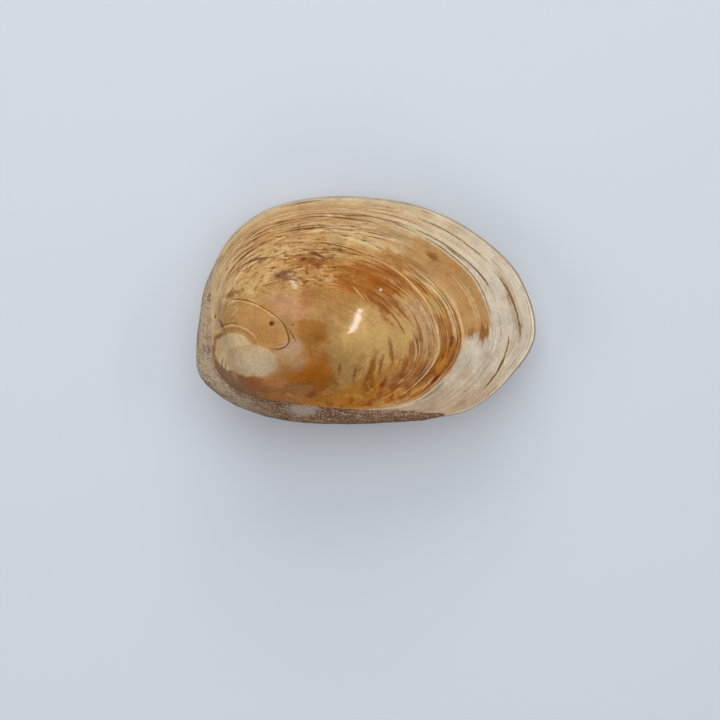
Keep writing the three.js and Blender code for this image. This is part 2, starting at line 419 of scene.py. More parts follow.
def pad_tree():
    """Grows the sediment pad as an oval bead along its outer edge, whose height is the half thickness."""
    tree, given, result = open_group(
        "sediment pad", "GeometryNodeTree",
        [("Geometry", "Geometry", None), ("Stations", "Int", 420), ("Sides", "Int", 120),
         ("Width", "Float", PAD_WIDTH), ("Lump height", "Float", 0.35), ("Grain height", "Float", 0.12),
         ("Seed", "Float", 3), ("Finish", "Material", None)],
        [("Geometry", "Geometry")])

    edge = add(tree, "GeometryNodeMeshToCurve", {"Mesh": given["Geometry"]})
    rows = add(tree, "ShaderNodeMath", given["Stations"], 2, operation="ADD")
    grid = add(tree, "GeometryNodeMeshGrid",
               {"Size X": 1.0, "Size Y": 1.0,
                "Vertices X": add(tree, "ShaderNodeMath", given["Sides"], 1, operation="ADD"),
                "Vertices Y": rows})
    place = add(tree, "ShaderNodeSeparateXYZ", add(tree, "GeometryNodeInputPosition"))
    turn = add(tree, "ShaderNodeMath", add(tree, "ShaderNodeMath", place, 0.5, operation="ADD"),
               2 * math.pi, operation="MULTIPLY")
    row = add(tree, "ShaderNodeMath",
              add(tree, "ShaderNodeMath", place.node.outputs[1], 0.5, operation="ADD"),
              add(tree, "ShaderNodeMath", given["Stations"], 1, operation="ADD"), operation="MULTIPLY")
    share = add(tree, "ShaderNodeMath", add(tree, "ShaderNodeMath", row, 1, operation="SUBTRACT"),
                add(tree, "ShaderNodeMath", given["Stations"], 1, operation="SUBTRACT"),
                operation="DIVIDE")
    inside = add(tree, "ShaderNodeClamp", share)
    sample = add(tree, "GeometryNodeSampleCurve", {"Curves": edge, "Factor": inside}, mode="FACTOR",
                 use_all_curves=True)
    point = add(tree, "ShaderNodeSeparateXYZ", sample.node.outputs["Position"])
    heading = add(tree, "ShaderNodeSeparateXYZ", sample.node.outputs["Tangent"])
    inward = add(tree, "ShaderNodeCombineXYZ",
                 add(tree, "ShaderNodeMath", heading.node.outputs[1], -1, operation="MULTIPLY"),
                 heading)
    inward = add(tree, "ShaderNodeVectorMath", inward, operation="NORMALIZE")

    half_width = add(tree, "ShaderNodeMath", given["Width"], 0.5, operation="MULTIPLY")
    open_row = add(tree, "ShaderNodeMath", 1,
                   add(tree, "ShaderNodeMath",
                       add(tree, "ShaderNodeMath",
                           add(tree, "ShaderNodeMath", share, 0.5, operation="SUBTRACT"),
                           operation="ABSOLUTE"), 0.5 + CLOSING, operation="GREATER_THAN"),
                   operation="SUBTRACT")
    reach = add(tree, "ShaderNodeMath", half_width,
                add(tree, "ShaderNodeMath", add(tree, "ShaderNodeMath", turn, operation="COSINE"),
                    open_row, 1, operation="MULTIPLY_ADD"), operation="MULTIPLY")
    taper = add(tree, "ShaderNodeMapRange",
                {"Value": share, "From Min": 1.0, "From Max": 0.8, "To Min": 0.2, "To Max": 1.0})
    rise = add(tree, "ShaderNodeMath",
               add(tree, "ShaderNodeMath", point.node.outputs[2], open_row, operation="MULTIPLY"),
               add(tree, "ShaderNodeMath", turn, operation="SINE"), operation="MULTIPLY")
    rise = add(tree, "ShaderNodeMath", rise, taper, operation="MULTIPLY")
    flat = add(tree, "ShaderNodeCombineXYZ", point, point.node.outputs[1], rise)
    across = add(tree, "ShaderNodeVectorMath", {0: inward, "Scale": reach}, operation="SCALE")
    bead = add(tree, "ShaderNodeVectorMath", flat, across, operation="ADD")
    coordinates = add(tree, "ShaderNodeCombineXYZ", inside,
                      add(tree, "ShaderNodeMath", place, 0.5, operation="ADD"))
    kept = add(tree, "GeometryNodeStoreNamedAttribute",
               {"Geometry": grid, "Name": "pad", "Value": coordinates}, data_type="FLOAT2",
               domain="CORNER")
    placed = add(tree, "GeometryNodeSetPosition", {"Geometry": kept, "Position": bead})
    sewn = add(tree, "GeometryNodeMergeByDistance", {"Geometry": placed, "Distance": PAD_WELD})

    here = add(tree, "GeometryNodeInputPosition")

    def lumps(scale, detail, height):
        """Lumps of a height in millimetres, about zero."""
        noise = add(tree, "ShaderNodeTexNoise",
                    {"Vector": here, "W": given["Seed"], "Scale": scale, "Detail": detail},
                    noise_dimensions="4D")
        return add(tree, "ShaderNodeMath",
                   add(tree, "ShaderNodeMath", noise, 0.5, operation="SUBTRACT"), height,
                   operation="MULTIPLY")

    height = add(tree, "ShaderNodeMath", lumps(0.35, 2, given["Lump height"]),
                 lumps(2.2, 1, given["Grain height"]), operation="ADD")
    offset = add(tree, "ShaderNodeVectorMath",
                 {0: add(tree, "GeometryNodeInputNormal"), "Scale": height}, operation="SCALE")
    rough = add(tree, "GeometryNodeSetPosition", {"Geometry": sewn, "Offset": offset})
    real = add(tree, "GeometryNodeRealizeInstances", {"Geometry": rough})
    done = add(tree, "GeometryNodeSetMaterial", {"Geometry": real, "Material": given["Finish"]})
    tree.links.new(done, result[0])
    return tree


# ---- finishes -------------------------------------------------------------------------------------

PER_CENT = 100.0
LINE_CORE = 0.3         # share of a thin line's half width that has its full colour
CALCITE_IOR = 1.54      # calcite has 1.49 to 1.66, by direction


def cover_groups():
    """Two groups that say how much of a marking covers a point, from 0 to 1.

    A band is a stretch round the shell by a stretch of growth, and a spot is an oval. Combs, a
    noise about zero drawn out along the growth lines, feathers a band's ends, and Frets, a noise
    without direction, frays every edge. Streaks thins the marking into lines of growth.
    """
    shared = [("Combs", "Float", 0), ("Frets", "Float", 0), ("Streaks", "Float", 1),
              ("Fraying", "Float", 0), ("Streakiness", "Float", 0), ("Strength", "Float", 1)]

    def close(group, given, result, beyond):
        """Ends a marking's group, from how far beyond its edge a point is in units of softness."""
        cover = add(group, "ShaderNodeMath", 0.5, beyond, operation="SUBTRACT", use_clamp=True)
        missing = add(group, "ShaderNodeMath", 1, given["Streaks"], operation="SUBTRACT")
        kept = add(group, "ShaderNodeMath", missing, given["Streakiness"], operation="MULTIPLY")
        kept = add(group, "ShaderNodeMath", 1, kept, operation="SUBTRACT")
        cover = add(group, "ShaderNodeMath", cover, kept, operation="MULTIPLY")
        cover = add(group, "ShaderNodeMath", cover, given["Strength"], operation="MULTIPLY")
        group.links.new(cover, result["Cover"])
        return group

    group, given, result = open_group(
        "band marking", "ShaderNodeTree",
        [("Place", "Vector", None), ("Middle", "Vector", None), ("Half", "Vector", None),
         ("Softness", "Vector", None), ("Feathering", "Float", 0)] + shared, [("Cover", "Float")])
    fray = add(group, "ShaderNodeMath", given["Frets"], given["Fraying"], operation="MULTIPLY")
    end = add(group, "ShaderNodeMath", given["Combs"], given["Feathering"], fray,
              operation="MULTIPLY_ADD")
    frayed = add(group, "ShaderNodeCombineXYZ", end, fray)
    apart = add(group, "ShaderNodeVectorMath", given["Place"], given["Middle"], operation="SUBTRACT")
    apart = add(group, "ShaderNodeVectorMath", apart, operation="ABSOLUTE")
    apart = add(group, "ShaderNodeVectorMath", apart, given["Half"], operation="SUBTRACT")
    apart = add(group, "ShaderNodeVectorMath", apart, frayed, operation="ADD")
    apart = add(group, "ShaderNodeVectorMath", apart, given["Softness"], operation="DIVIDE")
    each = add(group, "ShaderNodeSeparateXYZ", apart)
    beyond = add(group, "ShaderNodeMath", each, each.node.outputs[1], operation="MAXIMUM")
    band = close(group, given, result, beyond)

    group, given, result = open_group(
        "spot marking", "ShaderNodeTree",
        [("Place", "Vector", None), ("Middle", "Vector", None), ("Half", "Vector", None),
         ("Turn", "Float", 0), ("Softness", "Float", 0.2)] + shared,
        [("Cover", "Float"), ("Beyond", "Float")])
    turned = add(group, "ShaderNodeVectorRotate",
                 {"Vector": given["Place"], "Center": given["Middle"], "Angle": given["Turn"]},
                 rotation_type="Z_AXIS", invert=True)
    apart = add(group, "ShaderNodeVectorMath", turned, given["Middle"], operation="SUBTRACT")
    apart = add(group, "ShaderNodeVectorMath", apart, given["Half"], operation="DIVIDE")
    reach = add(group, "ShaderNodeVectorMath", apart, operation="LENGTH")
    beyond = add(group, "ShaderNodeMath", given["Frets"], given["Fraying"], reach,
                 operation="MULTIPLY_ADD")
    beyond = add(group, "ShaderNodeMath", beyond, 1, operation="SUBTRACT")
    group.links.new(beyond, result["Beyond"])
    scaled = add(group, "ShaderNodeMath", beyond, given["Softness"], operation="DIVIDE")
    spot = close(group, given, result, scaled)
    return band, spot


def shell_finish(name, seed, growth_colours, bands, spots, threads, patches, rims, scratches, lines):
    """Iron-stained calcite, the shell's own material, ground and polished: a soft stone gloss over
    fine lines of growth, with stains that follow the lines and fray at their ends.

    Bands, spots and threads are placed in per cent round the shell and per cent of growth, and
    patches, rims and scratches in millimetres along X and Y as the shell lies. Lines are the
    colours of the lines of growth: soft dark, pale, dark and the short dashes.
    """
    material = bpy.data.materials.new(name)
    material.use_nodes = True
    tree = material.node_tree
    shader = tree.nodes["Principled BSDF"]

    shell = add(tree, "ShaderNodeUVMap", uv_map="shell")
    around = add(tree, "ShaderNodeSeparateXYZ", shell)
    grown = around.node.outputs[1]
    spread = add(tree, "ShaderNodeTexCoord").node.outputs["Object"]
    plan = add(tree, "ShaderNodeVectorMath", {0: spread, "Scale": 1 / MM}, operation="SCALE")
    flat_plan = add(tree, "ShaderNodeVectorMath", plan, (1, 1, 0), operation="MULTIPLY")

    growth_noise = ring_noise_group("ShaderNodeTree")

    def streaks(length, fineness, detail, number, along=None):
        """Noise drawn out along the growth lines, about zero."""
        made = add(tree, "ShaderNodeGroup",
                   {"Around": around, "Grown": along or grown, "Length": length, "Fineness": fineness,
                    "Detail": detail, "Seed": seed + number}, node_tree=growth_noise)
        return add(tree, "ShaderNodeMath", made, 0.5, operation="SUBTRACT")

    def cloud(size, detail, number):
        """Noise without a direction, in lumps of a size in millimetres, about zero."""
        made = add(tree, "ShaderNodeTexNoise",
                   {"Vector": plan, "W": seed + number, "Scale": 1 / size, "Detail": detail,
                    "Roughness": 0.6}, noise_dimensions="4D")
        return add(tree, "ShaderNodeMath", made, 0.5, operation="SUBTRACT")

    # The growth lines waver a little, so the markings that follow them do too.
    waver = add(tree, "ShaderNodeMath", streaks(1.4, 9, 3, 3), 0.010, operation="MULTIPLY")
    waver = add(tree, "ShaderNodeMath", waver,
                add(tree, "ShaderNodeMath", cloud(1.5, 2, 5), 0.004, operation="MULTIPLY"),
                operation="ADD")
    wavered = add(tree, "ShaderNodeMath", grown, waver, operation="ADD")
    place = add(tree, "ShaderNodeCombineXYZ", around, wavered)
    place = add(tree, "ShaderNodeVectorMath", {0: place, "Scale": PER_CENT}, operation="SCALE")

    combs = streaks(2.0, 75, 2, 11, wavered)
    frets = cloud(2.2, 5, 13)
    broad = streaks(0.8, 40, 2, 23, wavered)
    fine = streaks(3.0, 130, 2, 17, wavered)
    dashes = streaks(9.0, 115, 2, 19, wavered)
    lumps = cloud(4.5, 4, 29)
    hues = cloud(6, 3, 30)
    grains = cloud(0.45, 3, 31)
    teeth = add(tree, "ShaderNodeMapRange",
                add(tree, "ShaderNodeMath",
                    add(tree, "ShaderNodeMath", fine,
                        add(tree, "ShaderNodeMath", dashes, 0.7, operation="MULTIPLY"),
                        operation="ADD"),
                    add(tree, "ShaderNodeMath", grains, 0.4, operation="MULTIPLY"), operation="ADD"),
                -0.16, 0.16, interpolation_type="SMOOTHSTEP")

    band, spot = cover_groups()

    def marking(group, where, middle, half, softness, frayed, streaky, strength, **more):
        """A marking's outputs. More is Feathering for a band, or Turn for a spot."""
        made = add(tree, "ShaderNodeGroup",
                   {"Place": where, "Combs": combs, "Frets": frets, "Streaks": teeth,
                    "Middle": (*middle, 0), "Half": (*half, 1), "Softness": softness, "Fraying": frayed,
                    "Streakiness": streaky, "Strength": strength, **more}, node_tree=group)
        return made.node.outputs

    def stretch(start, end, low, high):
        """Middle and half size of a stretch round the shell and of growth."""
        return ((start + end) / 2, (low + high) / 2), ((end - start) / 2, (high - low) / 2)

    def zone(start, end, low, high, soft_around, soft_grown):
        """How much of a point is in a stretch round the shell and of growth."""
        return marking(band, place, *stretch(start, end, low, high), (soft_around, soft_grown, 1),
                       frayed=4, streaky=0, strength=1, Feathering=10)[0]

    def stroke(where, start, end, half_width, frayed, strength):
        """A line that tapers from one place to another."""
        run = Vector(end) - Vector(start)
        return marking(spot, where, (Vector(start) + Vector(end)) / 2, (run.length / 2, half_width),
                       softness=0.5, frayed=frayed, streaky=0, strength=strength,
                       Turn=math.atan2(run.y, run.x))[0]

    def showing(noise, start, full, where):
        """How much a noise shows, from start to full, in the places given."""
        share = add(tree, "ShaderNodeMapRange", noise, start, full, interpolation_type="SMOOTHSTEP")
        return add(tree, "ShaderNodeMath", share, where, operation="MULTIPLY")

    def stained(colour, cover, strength, code, blend="MIX"):
        """The colour with a stain over it."""
        return add(tree, "ShaderNodeMix",
                   add(tree, "ShaderNodeMath", cover, strength, operation="MULTIPLY"), colour,
                   linear(code), data_type="RGBA", blend_type=blend)

    # The ground colour, from the beak to the margin.
    colour = add(tree, "ShaderNodeValToRGB",
                 add(tree, "ShaderNodeMath", grown,
                     add(tree, "ShaderNodeMath", broad, 0.10, operation="MULTIPLY"), operation="ADD"))
    stops = colour.node.color_ramp.elements
    while len(stops) < len(growth_colours):
        stops.new(0.5)
    for stop, (size, code) in zip(stops, growth_colours):
        stop.position = size
        stop.color = linear(code)

    for start, end, low, high, soft_around, soft_grown, feathered, frayed, streaky, code, strength in bands:
        cover = marking(band, place, *stretch(start, end, low, high), (soft_around, soft_grown, 1),
                        frayed, streaky, strength, Feathering=feathered)[0]
        colour = add(tree, "ShaderNodeMix", cover, colour, linear(code), data_type="RGBA")
    for start, end, low, high, softness, frayed, streaky, code, strength in spots:
        cover = marking(spot, place, *stretch(start, end, low, high), softness, frayed, streaky,
                        strength)[0]
        colour = add(tree, "ShaderNodeMix", cover, colour, linear(code), data_type="RGBA")
    for x, y, half_x, half_y, turn, softness, frayed, streaky, code, strength in patches:
        cover = marking(spot, flat_plan, (x, y), (half_x, half_y), softness, frayed, streaky, strength,
                        Turn=math.radians(turn))[0]
        colour = add(tree, "ShaderNodeMix", cover, colour, linear(code), data_type="RGBA")

    # Lines of growth. They are strongest towards the free edge, and polished away on the dome.
    top = zone(43, 74, 66, 101, 6, 5)
    arcs = zone(8, 39, 56, 74, 5, 4)
    rear = zone(4, 43, 85, 101, 6, 2)
    lined = add(tree, "ShaderNodeMath", add(tree, "ShaderNodeMath", arcs, 0.95, operation="MULTIPLY"),
                add(tree, "ShaderNodeMath", rear, 0.35, operation="MULTIPLY"), operation="MAXIMUM")
    lined = add(tree, "ShaderNodeMath", lined, top, operation="MAXIMUM")
    lined = add(tree, "ShaderNodeMath", lined, 0.92, 0.08, operation="MULTIPLY_ADD")

    def hairlines(length, fineness, number, width):
        """Thin lines along the growth lines, broken here and there."""
        level = add(tree, "ShaderNodeMath", streaks(length, fineness, 1, number, wavered),
                    operation="ABSOLUTE")
        broken = add(tree, "ShaderNodeMapRange",
                     add(tree, "ShaderNodeMath", streaks(1.6, 30, 2, number + 1),
                         add(tree, "ShaderNodeMath", frets, 0.5, operation="MULTIPLY"),
                         operation="ADD"), -0.06, 0.08, interpolation_type="SMOOTHSTEP")
        return showing(level, width, width * LINE_CORE, broken)

    soft_dark = showing(add(tree, "ShaderNodeMath", broad,
                            add(tree, "ShaderNodeMath", fine, 0.6, operation="MULTIPLY"),
                            operation="ADD"), 0.02, 0.24, lined)
    soft_pale = showing(add(tree, "ShaderNodeMath", broad,
                            add(tree, "ShaderNodeMath", fine, 0.8, operation="MULTIPLY"),
                            operation="ADD"), -0.02, -0.24, lined)
    colour = stained(colour, soft_dark, 0.55, lines[0], "MULTIPLY")
    colour = stained(colour, soft_pale, 0.45, lines[1])
    pale_hair = add(tree, "ShaderNodeMath", hairlines(0.8, 55, 67, 0.040), lined, operation="MULTIPLY")
    dark_hair = add(tree, "ShaderNodeMath", hairlines(0.9, 60, 61, 0.036), lined, operation="MULTIPLY")
    colour = stained(colour, pale_hair, 0.9, lines[1])
    colour = stained(colour, dark_hair, 0.95, lines[2], "MULTIPLY")

    # Short dark dashes, where the stain has soaked into worn growth lines.
    soaked = zone(46, 72, 57, 86, 6, 5)
    soaked = add(tree, "ShaderNodeMath", soaked, 0.75,
                 add(tree, "ShaderNodeMath", arcs, 0.3, operation="MULTIPLY"), operation="MULTIPLY_ADD")
    dashed = add(tree, "ShaderNodeMapRange",
                 add(tree, "ShaderNodeMath", dashes,
                     add(tree, "ShaderNodeMath", lumps, 0.5, operation="MULTIPLY"), operation="ADD"),
                 0.10, 0.22, interpolation_type="SMOOTHSTEP")
    colour = add(tree, "ShaderNodeMix",
                 add(tree, "ShaderNodeMath", dashed, soaked, operation="MULTIPLY"), colour,
                 linear(lines[3]), data_type="RGBA", blend_type="MULTIPLY")

    # Flecks of stain and of bare calcite, shorter than the dashes, on the front half.
    flecks = streaks(11.0, 105, 2, 41, wavered)
    flecked = zone(48, 72, 50, 84, 5, 6)
    dark_fleck = showing(add(tree, "ShaderNodeMath", flecks,
                             add(tree, "ShaderNodeMath", lumps, 0.2, operation="MULTIPLY"),
                             operation="ADD"), 0.05, 0.18, flecked)
    pale_fleck = showing(flecks, -0.08, -0.18, flecked)
    colour = stained(colour, dark_fleck, 0.7, lines[3], "MULTIPLY")
    colour = stained(colour, pale_fleck, 0.55, lines[1])

    # Blotches without a direction on the front half, where the stain is patchy.
    blotched = zone(45, 70, 50, 73, 6, 6)
    dark_blotch = add(tree, "ShaderNodeMapRange",
                      add(tree, "ShaderNodeMath", frets,
                          add(tree, "ShaderNodeMath", grains, 0.3, operation="MULTIPLY"),
                          operation="ADD"), 0.05, 0.20, interpolation_type="SMOOTHSTEP")
    pale_blotch = add(tree, "ShaderNodeMapRange", frets, -0.05, -0.2, interpolation_type="SMOOTHSTEP")
    dark_blotch = add(tree, "ShaderNodeMath", dark_blotch, blotched, operation="MULTIPLY")
    colour = stained(colour, dark_blotch, 0.75, lines[2], "MULTIPLY")
    pale_blotch = add(tree, "ShaderNodeMath", pale_blotch, blotched, operation="MULTIPLY")
    colour = stained(colour, pale_blotch, 0.5, lines[1])

    # On the slope to the hinge the whole stain is patchy.
    slope = zone(-4, 27, 26, 71, 5, 6)
    patchy = add(tree, "ShaderNodeMath", frets,
                 add(tree, "ShaderNodeMath", lumps, 0.5, operation="MULTIPLY"), operation="ADD")
    dark_patch = showing(patchy, 0.01, 0.13, slope)
    pale_patch = showing(patchy, -0.04, -0.16, slope)
    colour = stained(colour, dark_patch, 0.6, lines[0], "MULTIPLY")
    colour = stained(colour, pale_patch, 0.5, "#dcaa5a")

    for start, low, end, high, half_width, frayed, code, strength in threads:
        cover = stroke(place, (start, low), (end, high), half_width, frayed, strength)
        colour = add(tree, "ShaderNodeMix", cover, colour, linear(code), data_type="RGBA")
    for x, y, half_x, half_y, turn, outside, half_width, mask, code, strength in rims:
        beyond = marking(spot, flat_plan, (x, y), (half_x, half_y), softness=1, frayed=0.15, streaky=0,
                         strength=1, Turn=math.radians(turn))["Beyond"]
        line = add(tree, "ShaderNodeMath",
                   add(tree, "ShaderNodeMath", beyond, outside, operation="SUBTRACT"),
                   operation="ABSOLUTE")
        shown = marking(spot, flat_plan, mask[:2], mask[2:], softness=0.4, frayed=0.5, streaky=0,
                        strength=strength)[0]
        cover = showing(line, half_width, half_width * LINE_CORE, shown)
        colour = add(tree, "ShaderNodeMix", cover, colour, linear(code), data_type="RGBA")
    for x, y, end_x, end_y, half_width, code, strength in scratches:
        cover = stroke(flat_plan, (x, y), (end_x, end_y), half_width, 1.5, strength)
        colour = add(tree, "ShaderNodeMix", cover, colour, linear(code), data_type="RGBA")

    # The face where the valves meet is plain calcite.
    meeting = add(tree, "ShaderNodeMath", grown, 1 - CLOSING, operation="GREATER_THAN")
    colour = add(tree, "ShaderNodeMix", meeting, colour, linear("#e3d2b0"), data_type="RGBA")

    # The stone itself: warmer and yellower clouds, and a fine grain.
    colour = add(tree, "ShaderNodeMix",
                 add(tree, "ShaderNodeMapRange", hues, 0.02, 0.25, 0.0, 0.5,
                     interpolation_type="SMOOTHSTEP"), colour, linear("#e6b48c"), data_type="RGBA",
                 blend_type="MULTIPLY")
    colour = add(tree, "ShaderNodeMix",
                 add(tree, "ShaderNodeMapRange", hues, -0.02, -0.25, 0.0, 0.35,
                     interpolation_type="SMOOTHSTEP"), colour, linear("#f0d890"), data_type="RGBA",
                 blend_type="MULTIPLY")
    mottled = add(tree, "ShaderNodeMapRange",
                  add(tree, "ShaderNodeMath", lumps, grains, operation="ADD"), -0.35, 0.35, 0.80, 1.20,
                  interpolation_type="SMOOTHSTEP")
    colour = add(tree, "ShaderNodeVectorMath", {0: colour, "Scale": mottled}, operation="SCALE")
    tree.links.new(colour, shader.inputs["Base Color"])

    roughness = add(tree, "ShaderNodeMath", 0.075,
                    add(tree, "ShaderNodeMath",
                        add(tree, "ShaderNodeMath", fine, grains, operation="ADD"), 0.06,
                        operation="MULTIPLY"), operation="ADD")
    roughness = add(tree, "ShaderNodeMath", roughness,
                    add(tree, "ShaderNodeMath", lined, 0.18, operation="MULTIPLY"), operation="ADD")
    tree.links.new(roughness, shader.inputs["Roughness"])
    shader.inputs["IOR"].default_value = CALCITE_IOR

    height = add(tree, "ShaderNodeMath",
                 add(tree, "ShaderNodeMath", fine,
                     add(tree, "ShaderNodeMath", dashes, 0.5, operation="MULTIPLY"), operation="ADD"),
                 add(tree, "ShaderNodeMath", lined, 0.1, operation="ADD"), operation="MULTIPLY")
    height = add(tree, "ShaderNodeMath", height,
                 add(tree, "ShaderNodeMath", dark_hair, 0.3, operation="MULTIPLY"),
                 operation="SUBTRACT")
    height = add(tree, "ShaderNodeMath", height,
                 add(tree, "ShaderNodeMath", cloud(1.2, 2, 37), 0.25, operation="MULTIPLY"),
                 operation="ADD")
    bump = add(tree, "ShaderNodeBump", {"Strength": 0.6, "Distance": 0.05 * MM, "Height": height})
    tree.links.new(bump, shader.inputs["Normal"])
    return material


LIME_PATCH = (-15.0, -23.6, 0)  # mm, from the origin


def sediment_finish():
    """Sandy limestone, the mud that the shell was buried in, ground along with it: dull, with pale
    and dark grains of about half a millimetre, drawn out along the pad."""
    material = bpy.data.materials.new("sandy limestone, ground")
    material.use_nodes = True
    tree = material.node_tree
    shader = tree.nodes["Principled BSDF"]
    spread = add(tree, "ShaderNodeTexCoord").node.outputs["Object"]
    plan = add(tree, "ShaderNodeVectorMath", {0: spread, "Scale": 1 / MM}, operation="SCALE")
    own = add(tree, "ShaderNodeUVMap", uv_map="pad")
    own = add(tree, "ShaderNodeVectorMath", own, (PAD_LENGTH, PAD_GIRTH, 0), operation="MULTIPLY")

    def cloud(where, along, across, detail):
        """Noise in lumps of two sizes in millimetres, about zero."""
        drawn = add(tree, "ShaderNodeVectorMath", where, (1 / along, 1 / across, 1 / across),
                    operation="MULTIPLY")
        made = add(tree, "ShaderNodeTexNoise",
                   {"Vector": drawn, "Scale": 1.0, "Detail": detail, "Roughness": 0.6})
        return add(tree, "ShaderNodeMath", made, 0.5, operation="SUBTRACT")

    def tinted(colour, noise, tints):
        """The colour with tints where the noise is high or low, as (from, in full, most, tint)."""
        for start, full, most, code in tints:
            cover = add(tree, "ShaderNodeMapRange", noise, start, full, 0.0, most,
                        interpolation_type="SMOOTHSTEP")
            colour = add(tree, "ShaderNodeMix", cover, colour, linear(code), data_type="RGBA")
        return colour

    # Greyer at the front end, browner along the hinge.
    each = add(tree, "ShaderNodeSeparateXYZ", plan)
    beds = cloud(own, 9, 2.5, 3)
    waver = add(tree, "ShaderNodeMath", beds, 14, each, operation="MULTIPLY_ADD")
    colour = add(tree, "ShaderNodeMix",
                 add(tree, "ShaderNodeMapRange", waver, -18, -34, interpolation_type="SMOOTHSTEP"),
                 linear("#704c34"), linear("#ad9a80"), data_type="RGBA")
    colour = tinted(colour, beds, [(0.02, 0.16, 0.6, "#a08162"), (-0.02, -0.16, 0.7, "#5f3f2c")])
    layers = cloud(own, 2.6, 0.55, 3)
    colour = tinted(colour, layers, [(0.02, 0.14, 0.45, "#bfa585"), (-0.02, -0.14, 0.5, "#6a4d38")])
    grain = cloud(own, 0.5, 0.26, 2)
    colour = tinted(colour, grain, [(0.03, 0.15, 0.6, "#cdb594"), (-0.03, -0.15, 0.7, "#553c2a")])
    # One whitish patch of lime by the beaks.
    apart = add(tree, "ShaderNodeVectorMath", plan, LIME_PATCH, operation="SUBTRACT")
    apart = add(tree, "ShaderNodeVectorMath", apart, (0.5, 1, 0), operation="MULTIPLY")
    apart = add(tree, "ShaderNodeVectorMath", apart, operation="LENGTH")
    limed = add(tree, "ShaderNodeMath", layers, 4, apart, operation="MULTIPLY_ADD")
    colour = tinted(colour, limed, [(2.4, 1.0, 0.6, "#b5aaa0")])
    tree.links.new(colour, shader.inputs["Base Color"])
    shader.inputs["Roughness"].default_value = 0.55
    height = add(tree, "ShaderNodeMath", grain, layers, operation="ADD")
    bump = add(tree, "ShaderNodeBump", {"Strength": 0.6, "Distance": 0.12 * MM, "Height": height})
    tree.links.new(bump, shader.inputs["Normal"])
    return material


def plain_finish(name, colour, roughness):
    """One colour all over, for what isn't part of the shell."""
    material = bpy.data.materials.new(name)
    material.use_nodes = True
    shader = material.node_tree.nodes["Principled BSDF"]
    shader.inputs["Base Color"].default_value = linear(colour)
    shader.inputs["Roughness"].default_value = roughness
    return material


# The right valve's markings. Ground: share of growth, colour.
RIGHT_GROUND = [(0.05, "#a9793f"), (0.28, "#ae8248"), (0.42, "#ab7f49"), (0.56, "#bb8846"),
                (0.68, "#ca964f"), (0.80, "#d0a56e"), (0.93, "#dcb98a"), (1.0, "#e6cca8")]
# Bands: round the shell from and to, growth from and to, softness of the ends and of the long sides,
# feathering of the ends, fraying, streakiness, colour, strength.
RIGHT_BANDS = [
    (20, 40, 36, 60, 8, 10, 10, 8, 0, "#d6ab6a", 0.9),  # honey dome
    (2, 42, 73.2, 103, 5, 1.0, 4, 1.5, 0, "#d9cab4", 1.0),  # pale rear
    (-4, 18, 75, 103, 7, 4, 10, 6, 0.2, "#b89a7a", 0.85),  # tan by the hinge
    (37, 54, 76, 103, 9, 5, 12, 3, 0.2, "#e2cba8", 0.9),  # pinkish beige free edge
    (66, 80, 62, 103, 6, 8, 10, 8, 0.2, "#e9ca96", 0.85),  # beige front
    (54, 69, 54, 80, 6, 5, 12, 8, 0.3, "#d8ae72", 0.85),  # speckled beige
    (46, 66, 69, 97, 7, 5, 14, 6, 0.35, "#cb9a5e", 0.8),  # brown-lined free edge
    (25.8, 42, 72.8, 83.6, 0.8, 0.6, 5, 1.2, 0, "#c2925a", 1.0),  # flat tan band
    (38, 46, 74, 84, 4, 2, 14, 5, 0.2, "#b98f58", 0.8),  # where it fades out
    (25.2, 27.0, 75.0, 77.6, 0.8, 0.8, 3, 2.5, 0, "#a0693a", 0.9),  # its stained ends
    (24.8, 26.8, 79.2, 82.4, 0.8, 0.8, 3, 2.5, 0, "#9c6228", 0.95),
    (37, 45, 68, 74, 3, 1, 10, 3, 0.4, "#a8713a", 0.85),  # brown inside the band
    (34.5, 47.5, 52.5, 67.5, 2.5, 2.5, 26, 9, 0.35, "#a4580f", 0.95),  # orange-brown patch
    (13, 31, 66, 72.6, 3, 0.8, 10, 3, 0.3, "#a45c1c", 0.95),  # orange-brown arc
    (14, 25.5, 71.4, 73.3, 2, 0.5, 10, 1.5, 0.2, "#8e5220", 0.9),  # its dark outer edge
    (19, 35, 58, 65, 4, 1.5, 12, 4, 0.25, "#c59e72", 0.85),  # pale arc inside it
    (1, 23, 38, 71, 3, 4, 34, 14, 0.35, "#c27a20", 1.0),  # flame-like brown at the hinge
    (-6, 106, 98.6, 106, 1, 0.8, 0, 1, 0, "#f2e2c6", 0.9),  # pale rim: painted light that lifts the shade on the steep margin
    (79, 99, 58, 103, 4, 8, 10, 18, 0.2, "#74553f", 0.95),  # purple-grey by the sediment
]
# Spots: round the shell from and to, growth from and to, softness, fraying, streakiness, colour,
# strength.
RIGHT_SPOTS = [
    (37, 44.5, 61, 67, 0.7, 3.0, 0.3, "#9a5414", 0.85),
    (33.5, 38.5, 53, 59.5, 0.7, 3.0, 0.6, "#96561f", 0.85),
    (37.6, 39.8, 78.8, 80.8, 0.9, 4.5, 0.2, "#855028", 0.8),
    (24.6, 32.6, 92.4, 95.0, 0.9, 3.0, 0.5, "#ad8f6c", 0.8),
    (13, 18, 74.2, 76.4, 0.7, 3.0, 0.3, "#8e7257", 0.8),
    (7, 11, 83, 85.5, 0.7, 3.0, 0.3, "#8e7257", 0.7),
    (49.5, 58.0, 58.5, 67, 0.8, 3.5, 0.25, "#a86a36", 0.9),
    (50.4, 55.2, 60.4, 64.6, 0.9, 3.0, 0.1, "#97592a", 0.9),
    (55.4, 59.8, 54.2, 59.2, 0.8, 2.0, 0, "#86563c", 1.0),
    (57, 62.5, 49, 56, 0.8, 3.0, 0.2, "#a87240", 0.8),
    (43, 51, 71.2, 74.6, 0.7, 2.0, 0.3, "#dcbe86", 0.9),
]
